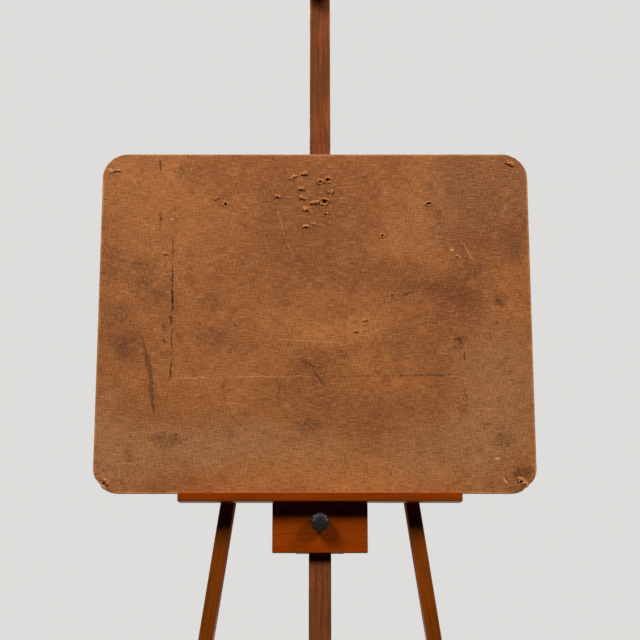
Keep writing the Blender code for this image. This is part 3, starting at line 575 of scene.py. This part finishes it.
def hex_ring(angle):
    """A hexagon whose corners stand at the given radius."""
    sector = math.pi / 3
    return math.cos(sector / 2) / math.cos((angle % sector) - sector / 2)


def cross_ring(angle):
    """The outline of a cross-head driver's recess."""
    turn = abs((angle % (math.pi / 2)) - math.pi / 4) / (math.pi / 4)
    return 0.36 + 0.64 * max(0.0, (turn - 0.62) / 0.38) ** 0.6


def lobed_ring(angle):
    """Eight round grip lobes with narrow valleys between them."""
    return 1.0 - 0.085 * (1 - abs(math.cos(4 * angle))) ** 1.6


def turned(node, material, profile, segments=48, facing=None):
    """A finer turned piece for a CAD node.

    The profile takes the piece's radius and length. It lists radii, distances from the start of the axis and,
    where a ring isn't round, its shape. Starting off the axis, it closes on itself round a bore.
    """
    axis = Axis(node)
    if facing is not None:
        axis.facing(facing)
    points = profile(axis.radius, axis.length)
    shape = bmesh.new()
    turn = axis.along.to_track_quat("Z", "Y").to_matrix()
    rings = []
    for radius, distance, *ring_shape in points:
        factor = ring_shape[0] if ring_shape else plain_ring
        if radius == 0:
            rings.append([shape.verts.new(axis.start + axis.along * distance)])
            continue
        ring = []
        for step in range(segments):
            angle = 2 * math.pi * step / segments
            reach = radius * factor(angle)
            place = turn @ Vector((reach * math.cos(angle), reach * math.sin(angle), distance))
            ring.append(shape.verts.new(axis.start + place))
        rings.append(ring)
    pairs = list(zip(rings, rings[1:]))
    if points[0][0] > 0:
        pairs.append((rings[-1], rings[0]))
    for one, other in pairs:
        for step in range(segments):
            following = (step + 1) % segments
            corners = [one[step % len(one)], one[following % len(one)],
                       other[following % len(other)], other[step % len(other)]]
            shape.faces.new(list(dict.fromkeys(corners)))
    stands_for(new_piece(node + "_fine", shape, [material]), node)


def thread(radius, start, stop, pitch, depth):
    """Profile points of a threaded length, as a row of V-shaped rings."""
    turns = max(1, round((stop - start) / pitch))
    step = (stop - start) / turns
    points = []
    for number in range(turns):
        points += [(radius - depth, start + number * step), (radius, start + (number + 0.5) * step)]
    return points


# ---------------- hardware

THREAD_DEPTH = 0.0004
M6_BORE = 0.0033
M8_BORE = 0.0043
TIP = 0.0004


def wood_screw(head, length):
    """Countersunk cross-head screw with a rolled thread."""
    shank = head / 2
    return [
        (0, 0.0019), (0.0007, 0.0018), (0.0017, 0.0011, cross_ring), (0.0021, 0.0, cross_ring),
        (head * 0.93, 0.0), (head * 0.985, 0.00008), (head, 0.0003), (shank, 0.0024), (shank, length * 0.35),
        *thread(shank, length * 0.36, length - 0.0035, 0.0016, 0.0005),
        (shank * 0.6, length - 0.0025), (0, length),
    ]


def socket_bolt(head, length):
    """Furniture bolt: low round head with a hexagon socket."""
    height, shank = 0.0047, 0.0030
    return [
        (0, 0.0031), (0.0028, 0.0029, hex_ring), (0.0030, 0.0002, hex_ring), (0.0034, 0.0),
        (head * 0.86, 0.0), (head * 0.95, 0.0003), (head, 0.0011), (head, height - 0.0004),
        (head * 0.96, height), (shank, height),
        *thread(shank, height + 0.020, length - 0.002, 0.0010, THREAD_DEPTH),
        (0.0022, length - 0.0005), (0, length),
    ]


def sleeve(radius, length, bore):
    """A washer or a spacer, its outer edges slightly rounded."""
    size = 0.0004
    corner = size * 0.3
    return [
        (bore, 0.0), (radius - size, 0.0), (radius - corner, corner), (radius, size), (radius, length - size),
        (radius - corner, length - corner), (radius - size, length), (bore, length),
    ]


def nut(corner, height, bore):
    """Hexagon nut, its corners chamfered on both faces."""
    flat = corner * math.cos(math.pi / 6)
    return [
        (bore, 0.0004), (bore + 0.0004, 0.0), (flat * 0.96, 0.0), (corner, 0.0009, hex_ring),
        (corner, height - 0.0009, hex_ring), (flat * 0.96, height), (bore + 0.0004, height),
        (bore, height - 0.0004),
    ]


def hinge_bolt(head, length):
    """Domed bolt through the hinge, threaded where it leaves the nut."""
    shank = 0.0040
    return [
        (0, 0.0), (head * 0.28, 0.00015), (head * 0.55, 0.0008), (head * 0.78, 0.0017), (head * 0.93, 0.0030),
        (head, 0.0043), (head * 0.99, 0.0048), (shank, 0.0048), (shank, length - 0.019),
        *thread(shank, length - 0.018, length - 0.001, 0.00125, 0.0005),
        (shank * 0.75, length - TIP), (0, length),
    ]


def pivot_bolt(head, length):
    """Domed bolt with a hexagon socket, on which the stay swings."""
    shank = 0.0030
    return [
        (0, 0.0016), (0.0019, 0.0015, hex_ring), (0.0020, 0.0001, hex_ring), (0.0026, 0.0),
        (head * 0.62, 0.0004), (head * 0.85, 0.0011), (head * 0.97, 0.0022), (head, 0.0033),
        (head * 0.98, 0.0036), (shank, 0.0036), (shank, length - 0.012),
        *thread(shank, length - 0.011, length - 0.001, 0.0010, THREAD_DEPTH),
        (shank * 0.75, length - TIP), (0, length),
    ]


def catch_pin(radius, length):
    """Plain pin with rounded ends, over which the stay hooks."""
    return [
        (0, 0.0), (radius * 0.80, 0.0), (radius * 0.94, 0.0002), (radius, 0.0007), (radius, length - 0.0007),
        (radius * 0.94, length - 0.0002), (radius * 0.80, length), (0, length),
    ]


def stud(radius, length):
    """Threaded stud with a plain pressing end."""
    return [
        (0, 0.0), (radius * 0.8, 0.0), (radius * 0.9, 0.0004),
        *thread(radius, 0.0006, length - 0.0030, 0.0010, THREAD_DEPTH),
        (radius * 0.8, length - 0.0028), (radius * 0.8, length - 0.0006), (radius * 0.6, length), (0, length),
    ]


def insert(flange, length):
    """Flanged threaded insert."""
    barrel = 0.0060
    return [
        (M6_BORE, 0.0004), (M6_BORE + 0.0004, 0.0), (flange - 0.0006, 0.0), (flange, 0.0004),
        (flange, 0.0010), (flange - 0.0002, 0.0012), (barrel, 0.0012),
        *thread(barrel, 0.0020, length - 0.0008, 0.0012, 0.0006),
        (barrel - 0.0008, length), (M6_BORE, length),
    ]


def knob(radius, depth):
    """Eight-lobed clamp knob: low collar, rounded grip and a shallow crown with a soft central boss."""
    socket = 0.0120
    bore_and_collar = [
        (0, socket), (M6_BORE, socket), (M6_BORE, 0.0003), (M6_BORE + 0.0003, 0.0), (0.0076, 0.0),
        (0.0080, 0.0004), (0.0086, 0.0036), (0.0092, 0.0041),
    ]
    grip = [
        (0.86, 0.0041), (0.93, 0.0046), (0.98, 0.0057), (1.0, 0.0072), (1.0, 0.0100), (0.985, 0.0122),
        (0.94, 0.0142), (0.86, 0.0157), (0.76, 0.0166),
    ]
    crown = [(0.64, 0.0172), (0.50, 0.0177), (0.36, 0.01805), (0.20, depth - 0.0001), (0, depth)]
    return (bore_and_collar + [(radius * share, height, lobed_ring) for share, height in grip]
            + [(radius * share, height) for share, height in crown])


# ---------------- the drawing board

BOARD_CORNER = 0.045
# A face this square to the board's depth, or more so, is flat
FLAT_FACE = 0.999
FACE, EDGE, REAR = range(3)
PATCH_FACE, PATCH_FIBRE, PATCH_HOLE = range(3)
# Torn tack holes, in millimetres: across, up, half-width, half-height, turn in degrees, depth of the hole,
# lift of the rim
TEARS = [
    (-38, 567, 10.4, 5.9, 24, 0.8, 2.5), (-19, 573, 8.5, 6.5, 10, 1.6, 2.5), (9, 558, 7.9, 6.5, 30, 1.8, 2.7),
    (22, 561, 11.6, 8.3, 26, 2, 3.4), (-25, 545, 9.2, 5.7, 12, 0.7, 2.7), (-23, 528, 10, 5.7, -34, 1.2, 2.9),
    (29, 539, 8.5, 5.7, 8, 0.9, 2.7), (-67, 531, 7.3, 7.2, 0, 1.4, 2.1), (-17, 507, 8.3, 6.5, 0, 1, 2.9),
    (-1, 519, 12.2, 5.7, 14, 0.8, 2.9), (17, 521, 12.8, 10.1, -30, 1.8, 4.1),
    (18, 497, 9.2, 5.2, 20, 1.8, 2.1), (-16, 475, 8.5, 5.5, 0, 0.8, 2), (-3, 479, 7.1, 3.9, -14, 0.6, 1.6),
    (-175, 527, 6.3, 5.7, 18, 1.1, 2.1), (-160, 516, 6.8, 7.3, 0, 2.4, 2.1),
    (203, 517, 10.7, 6.8, 12, 2, 2.7), (120, 458, 6.3, 6.5, 20, 2, 1.7), (72, 284, 6.1, 5.5, 0, 1.2, 1.6),
    (87, 304, 5.6, 5.2, 30, 1.2, 1.5), (137, 352, 2.9, 2.6, 0, 0.9, 0.7),
    (-359, 578, 13.4, 5.7, 14, 0.6, 1.9), (350, 592, 12.2, 7.5, -24, 1.6, 2.4),
    (-361, 22, 13.4, 8.8, -50, 1.2, 2.5), (356, 21, 10.8, 8.8, -48, 0.9, 2.6),
    (-265, 425, 4.9, 4.7, 0, 0.5, 1.6), (253, 420, 5.1, 4.4, 0, 0.5, 1.6),
]
TEAR_SEGMENTS = 44
TEAR_SHARES = [1.0, 0.93, 0.86, 0.79, 0.72, 0.65, 0.58, 0.51, 0.44, 0.37, 0.30, 0.22, 0.14, 0.07]
TEAR_FLOOR = 0.0030
PLUG_PROUD = 0.0006
OPEN_HOLE_DEPTH = 0.0017
# Shares of a tear's reach: its sound rim lies outside the first, an open hole's floor inside the second
RIM_SHARE = 0.84
HOLE_SHARE = 0.36
# Corners and edges that are knocked ragged, in millimetres: across, up, reach, depth
FRAYED = [
    (-368, 12, 20, 3), (366, 10, 22, 3.4), (-376, 592, 16, 1), (362, 602, 14, 1.4), (-381, 110, 12, 0.8),
    (381, 590, 16, 1), (250, 0, 30, 1), (-184, 610, 6, 0.8),
]


class Board:
    """The CAD board's own measures and axes. Points are given across, up and out in front of its face."""

    def __init__(self, node):
        points = vertices_of(node)
        up = points @ np.array(UP)
        back = points @ np.array(BACK)
        self.width = float(points[:, 0].max() - points[:, 0].min())
        self.height = float(up.max() - up.min())
        self.thick = float(back.max() - back.min())
        middle = float(points[:, 0].max() + points[:, 0].min()) / 2
        self.origin = RIGHT * middle + UP * float(up.min()) + BACK * float(back.min())

    def point(self, across, up, out=0.0):
        return self.origin + RIGHT * across + UP * up - BACK * out


def wander(across, up, seed, scale):
    """A smooth random value between about -1 and 1 for a place on the board."""
    return noise.noise(Vector((across * scale, up * scale, seed)))


def board_outline(board):
    """The rounded outline, walked in short steps, with edges and corners worn slightly inwards."""
    half = board.width / 2
    straight_step = 0.006
    corner_steps = 22
    even_wear = 0.00025
    corners = [(half, board.height, 0), (-half, board.height, 90), (-half, 0.0, 180), (half, 0.0, 270)]
    walk = []
    for across, up, start in corners:
        middle = (across - math.copysign(BOARD_CORNER, across),
                  up - (BOARD_CORNER if up > 0 else -BOARD_CORNER))
        for step in range(corner_steps + 1):
            angle = math.radians(start + 90 * step / corner_steps)
            walk.append((middle[0] + BOARD_CORNER * math.cos(angle),
                         middle[1] + BOARD_CORNER * math.sin(angle)))
    points = []
    for here, following in zip(walk, walk[1:] + walk[:1]):
        gap = math.dist(here, following)
        steps = max(1, round(gap / straight_step)) if gap > 2 * straight_step else 1
        points += [(here[0] + (following[0] - here[0]) * n / steps,
                    here[1] + (following[1] - here[1]) * n / steps) for n in range(steps)]
    worn = []
    for across, up in points:
        inwards = Vector((-across, board.height / 2 - up)).normalized()
        wear = even_wear * (1 + wander(across, up, 3.0, 60.0))
        for at, height, reach, depth in FRAYED:
            near = max(0.0, 1 - math.hypot(across / MM - at, up / MM - height) / reach)
            wear += near * depth * MM * max(0.0, 0.45 + 1.4 * wander(across, up, 9.0, 420.0))
        worn.append((across + inwards.x * wear, up + inwards.y * wear))
    return worn


def wall(shape, one, other, material_index=0):
    """A band of faces between two rings."""
    for step in range(len(one)):
        following = (step + 1) % len(one)
        face = shape.faces.new((one[step], one[following], other[following], other[step]))
        face.material_index = material_index


def board_blank(board, materials):
    """The worn panel before it is torn: outline, thickness and small rounded rims."""
    shape = bmesh.new()
    rim, corner, thick = 0.0009, 0.00027, board.thick
    rings = []
    for inset, out in ((rim, 0.0), (corner, -corner), (0.0, -rim), (0.0, rim - thick),
                       (corner, corner - thick), (rim, -thick)):
        ring = []
        for across, up in board_outline(board):
            inwards = Vector((-across, board.height / 2 - up))
            share = Vector((inwards.x / (board.width / 2), inwards.y / (board.height / 2)))
            share = share.normalized() * inset
            ring.append(shape.verts.new(board.point(across + share.x, up + share.y, out)))
        rings.append(ring)
    for one, other in zip(rings, rings[1:]):
        wall(shape, one, other, EDGE)
    shape.faces.new(rings[0]).material_index = FACE
    shape.faces.new(rings[-1]).material_index = REAR
    return new_piece("drawing_board_worn", shape, materials, 30)


def ragged_loop(seed, half_width, half_height, turn):
    """A torn outline: an ellipse whose radius wanders and jumps."""
    loop = []
    for step in range(TEAR_SEGMENTS):
        angle = 2 * math.pi * step / TEAR_SEGMENTS
        reach = 0.85 + 0.35 * noise.noise(Vector((1.7 * math.cos(angle), 1.7 * math.sin(angle), seed)))
        reach += 0.16 * noise.noise(Vector((9 * math.cos(angle), 9 * math.sin(angle), seed)))
        flat = Vector((half_width * reach * math.cos(angle), half_height * reach * math.sin(angle)))
        flat.rotate(Matrix.Rotation(math.radians(turn), 2))
        loop.append(flat)
    return loop


def torn_places():
    """Each tear's seed, middle, outline, depth and lift, in metres."""
    for seed, (across, up, half_width, half_height, turn, depth, lift) in enumerate(TEARS):
        outline = ragged_loop(seed, half_width * MM, half_height * MM, turn)
        yield seed, (across * MM, up * MM), outline, depth * MM, lift * MM


def ring_of(shape, board, middle, loop, out):
    """A loop of points around a middle, at one height in front of the face."""
    return [shape.verts.new(board.point(middle[0] + flat.x, middle[1] + flat.y, out)) for flat in loop]


def tear_cutters(board, fibre):
    """One object holding a ragged plug for each tear, to be taken out of the board."""
    shape = bmesh.new()
    for _, middle, loop, _, _ in torn_places():
        front = ring_of(shape, board, middle, loop, PLUG_PROUD)
        back = ring_of(shape, board, middle, loop, -TEAR_FLOOR)
        wall(shape, front, back)
        shape.faces.new(front)
        shape.faces.new(back)
    cutter = new_piece("tear_cutter", shape, [fibre])
    cutter.hide_render = True
    return cutter


def ease(value, low, high):
    """0 at low, 1 at high, smooth between, either way round."""
    share = min(1.0, max(0.0, (value - low) / (high - low)))
    return share * share * (3 - 2 * share)


def tear_height(seed, flat, share, angle, depth, lift):
    """How far the torn surface stands out of the face.

    Deep tears are open holes with a lifted rim. Shallow ones are flaps of fibre that rise from their upper
    side and end in a ragged undercut lip.
    """
    coarse = noise.noise(Vector((flat.x * share * 300, flat.y * share * 300, seed + 0.5)))
    fine = noise.noise(Vector((flat.x * share * 950, flat.y * share * 950, seed + 7.5)))
    rough = max(0.15, 0.85 + 1.0 * coarse + 0.7 * fine)
    if depth > OPEN_HOLE_DEPTH:
        lifted_side = 0.5 + 0.5 * math.cos(angle - math.radians(110))
        rim = math.exp(-((share - 0.62) / 0.22) ** 2) * (0.35 + 0.65 * lifted_side)
        height = lift * rim * rough - depth * max(0.0, 1 - share / 0.42) ** 0.5
    else:
        upwards = share * math.sin(angle) + 0.30 * coarse
        middle = max(0.0, 1 - (share * math.cos(angle)) ** 2) ** 0.6
        flap = ease(upwards, 0.95, -0.10) * ease(upwards, -0.46, -0.24)
        hollow = math.exp(-((upwards + 0.62) / 0.17) ** 2)
        height = (lift * flap * rough - depth * hollow) * middle
    return height * (1 - share ** 8)


def torn_surface(share, depth):
    """A tear's material at a share of its reach: the face's at the rim, then fibre, then a hole's floor, whose
    darker fibre is painted shade.
    """
    if share > RIM_SHARE:
        return PATCH_FACE
    return PATCH_HOLE if depth > OPEN_HOLE_DEPTH and share < HOLE_SHARE else PATCH_FIBRE


def torn_patches(board, materials):
    """The torn places themselves, each a closed plug that fills its hollow in the board."""
    shape = bmesh.new()
    for seed, (across, up), loop, depth, lift in torn_places():
        back = ring_of(shape, board, (across, up), loop, -TEAR_FLOOR)
        outer = back
        for share in TEAR_SHARES:
            ring = []
            for step, flat in enumerate(loop):
                angle = 2 * math.pi * step / TEAR_SEGMENTS
                height = tear_height(seed, flat, share, angle, depth, lift)
                pull = Vector((0.25, -0.55)) * max(0.0, height) * share
                ring.append(shape.verts.new(board.point(
                    across + flat.x * share + pull.x, up + flat.y * share + pull.y, height)))
            wall(shape, outer, ring, torn_surface(share, depth))
            outer = ring
        shape.faces.new(outer).material_index = PATCH_HOLE
        shape.faces.new(back).material_index = PATCH_FIBRE
    return new_piece("board_torn_fibres", shape, materials, 70)


def drawing_board():
    """The worn panel, with the tears cut out of it and filled by patches of torn fibre."""
    board = Board("drawing_board")
    measures = (board.origin, board.width / 2, board.height)
    face = hardboard("worn_hardboard", *measures, marked=True)
    rear = hardboard("hardboard_back", *measures, marked=False)
    edge = raw_fibre("hardboard_edge", srgb(112, 66, 38), srgb(196, 134, 80))
    fibre = raw_fibre("torn_hardboard", srgb(122, 69, 36), srgb(212, 142, 82))
    # The open holes' floors get darker fibre: painted shade in the recess.
    hole = raw_fibre("tear_floor_painted_shade", srgb(104, 58, 30), srgb(160, 98, 54))
    panel = board_blank(board, [face, edge, rear, fibre])
    cutter = tear_cutters(board, fibre)
    cut = panel.modifiers.new("tears", "BOOLEAN")
    cut.operation = "DIFFERENCE"
    cut.object = cutter
    cut.use_self = True
    cut.material_mode = "TRANSFER"
    with bpy.context.temp_override(object=panel, active_object=panel):
        bpy.ops.object.modifier_apply(modifier=cut.name)
    bpy.data.objects.remove(cutter)
    for polygon in panel.data.polygons:
        polygon.use_smooth = abs(polygon.normal.dot(BACK)) < FLAT_FACE
    stands_for(panel, "drawing_board")
    goes_with(torn_patches(board, [face, fibre, hole]), "drawing_board")


# ---------------- wooden pieces

def leg_along(node):
    """The direction of a front leg, from its own highest and lowest points."""
    points = vertices_of(node)
    heights = points @ np.array(UP)
    near_top, near_foot = 0.004, 0.016
    top = points[heights > heights.max() - near_top].mean(axis=0)
    foot = points[heights < heights.min() + near_foot].mean(axis=0)
    return Vector(top - foot).normalized()


def wooden_pieces():
    """Every piece of beech, with the direction of its grain and its colours."""
    pieces = {
        "front_leg_left": (leg_along("front_leg_left"), LEG_BEECH),
        "front_leg_right": (leg_along("front_leg_right"), LEG_BEECH),
        "upper_rail": (RIGHT, LEG_BEECH), "lower_rail": (RIGHT, LEG_BEECH), "mast_bridge": (RIGHT, LEG_BEECH),
        "hinge_cheek_left": (BACK, LEG_BEECH), "hinge_cheek_right": (BACK, LEG_BEECH),
        "tray_ledge": (RIGHT, TRAY_BEECH), "tray_front_plate": (RIGHT, PLATE_BEECH_PAINTED_LIGHTER),
        "tray_cheek_left": (UP, TRAY_BEECH), "tray_cheek_right": (UP, TRAY_BEECH),
        "tray_back_plate": (RIGHT, TRAY_BEECH), "holder_jaw": (RIGHT, TRAY_BEECH),
        "holder_back_plate": (RIGHT, TRAY_BEECH), "rear_leg": (REAR_LEG_ALONG, LEG_BEECH),
        "mast": (UP, MAST_BEECH),
    }
    for number, (node, (along, shades)) in enumerate(pieces.items()):
        refined(node, wood(node + "_beech", along, shades, number + 1))


def lathed(profile, **options):
    """The maker of a kind of turned piece."""
    return partial(turned, profile=profile, **options)


def hardware():
    """Every metal, plastic and rubber piece. The first row whose words are in a node's name makes it."""
    steel = zinc_steel()
    yellow = brass()
    plastic = knob_plastic()
    black = rubber()
    rows = [
        ("_stud", lathed(stud), steel), ("_insert", lathed(insert), yellow),
        ("_knob", lathed(knob, segments=128, facing=-BACK), plastic),
        ("_foot_pad", refined, black), ("stay_catch", refined, steel), ("mast_saddle", refined, steel),
        ("stay_pivot_bolt", lathed(pivot_bolt), steel),
        ("stay_pivot_nut", lathed(partial(nut, bore=M6_BORE)), steel),
        ("stay_pivot_spacer", lathed(partial(sleeve, bore=M6_BORE)), steel), ("stay", refined, steel),
        ("hinge_bolt", lathed(hinge_bolt), steel), ("hinge_nut", lathed(partial(nut, bore=M8_BORE)), steel),
        ("washer", lathed(partial(sleeve, bore=M8_BORE)), steel), ("catch_pin", lathed(catch_pin), steel),
        ("_screw_", lathed(wood_screw), steel), ("rail_bolt", lathed(socket_bolt), steel),
    ]
    for node in frame["nodes"]:
        for words, make, material in rows:
            if words in node:
                make(node, material)
                break


# ---------------- stage

FLOOR_RADIUS = 2.1


def area_light(name, place, target, size, power):
    """A round, soft light aimed at a point."""
    data = bpy.data.lights.new(name, "AREA")
    data.shape = "DISK"
    data.size = size
    data.energy = power
    light = bpy.data.objects.new(name, data)
    light.location = place
    light.rotation_euler = (Vector(target) - Vector(place)).to_track_quat("-Z", "Y").to_euler()
    bpy.context.scene.collection.objects.link(light)


def studio():
    """A pale floor and backdrop, two soft lights high in front and two behind."""
    shape = bmesh.new()
    bmesh.ops.create_circle(shape, cap_ends=True, segments=96, radius=FLOOR_RADIUS)
    floor = new_piece("studio_floor", shape, [])
    s = Shader("pale_floor")
    grain = s.noise(s.here(), 240.0, 2.0, 0.5)
    floor.data.materials.append(s.done(
        Base_Color=s.mix(s.ramp(grain, 0.35, 0.65), srgb(163, 162, 160), srgb(167, 166, 164)), Roughness=0.9))
    floor.visible_diffuse = False

    world = bpy.data.worlds.new("studio")
    bpy.context.scene.world = world
    world.use_nodes = True
    nodes, links = world.node_tree.nodes, world.node_tree.links
    ambient = nodes["Background"]
    ambient.inputs["Color"].default_value = srgb(236, 236, 240)
    ambient.inputs["Strength"].default_value = 0.012
    backdrop = nodes.new("ShaderNodeBackground")
    backdrop.inputs["Color"].default_value = srgb(222, 221, 219)
    path = nodes.new("ShaderNodeLightPath")
    chooser = nodes.new("ShaderNodeMixShader")
    links.new(path.outputs["Is Camera Ray"], chooser.inputs[0])
    links.new(ambient.outputs[0], chooser.inputs[1])
    links.new(backdrop.outputs[0], chooser.inputs[2])
    links.new(chooser.outputs[0], nodes["World Output"].inputs["Surface"])

    tray = (0.0, -0.20, 0.78)
    area_light("key_left", (-2.52, -1.50, 4.28), tray, 1.5, 215)
    area_light("key_right", (3.05, -1.45, 3.83), tray, 1.5, 175)
    area_light("rear_right", (2.6, 2.6, 2.8), (0.0, 0.1, 1.0), 1.6, 120)
    area_light("rear_left", (-2.6, 2.9, 2.4), (0.0, 0.1, 0.8), 1.6, 120)


def camera():
    """Level camera straight in front of the easel, with a short telephoto lens."""
    height, distance = 1.080, 2.456
    data = bpy.data.cameras.new("camera")
    data.lens = 80.8
    data.sensor_width = 36.0
    board = Board("drawing_board")
    made = bpy.data.objects.new("camera", data)
    made.location = (0.0, board.origin.y - distance, height)
    made.rotation_euler = (math.pi / 2, 0, 0)
    bpy.context.scene.collection.objects.link(made)
    bpy.context.scene.camera = made


camera()
drawing_board()
wooden_pieces()
hardware()
studio()
bpy.context.scene.view_settings.view_transform = "Standard"
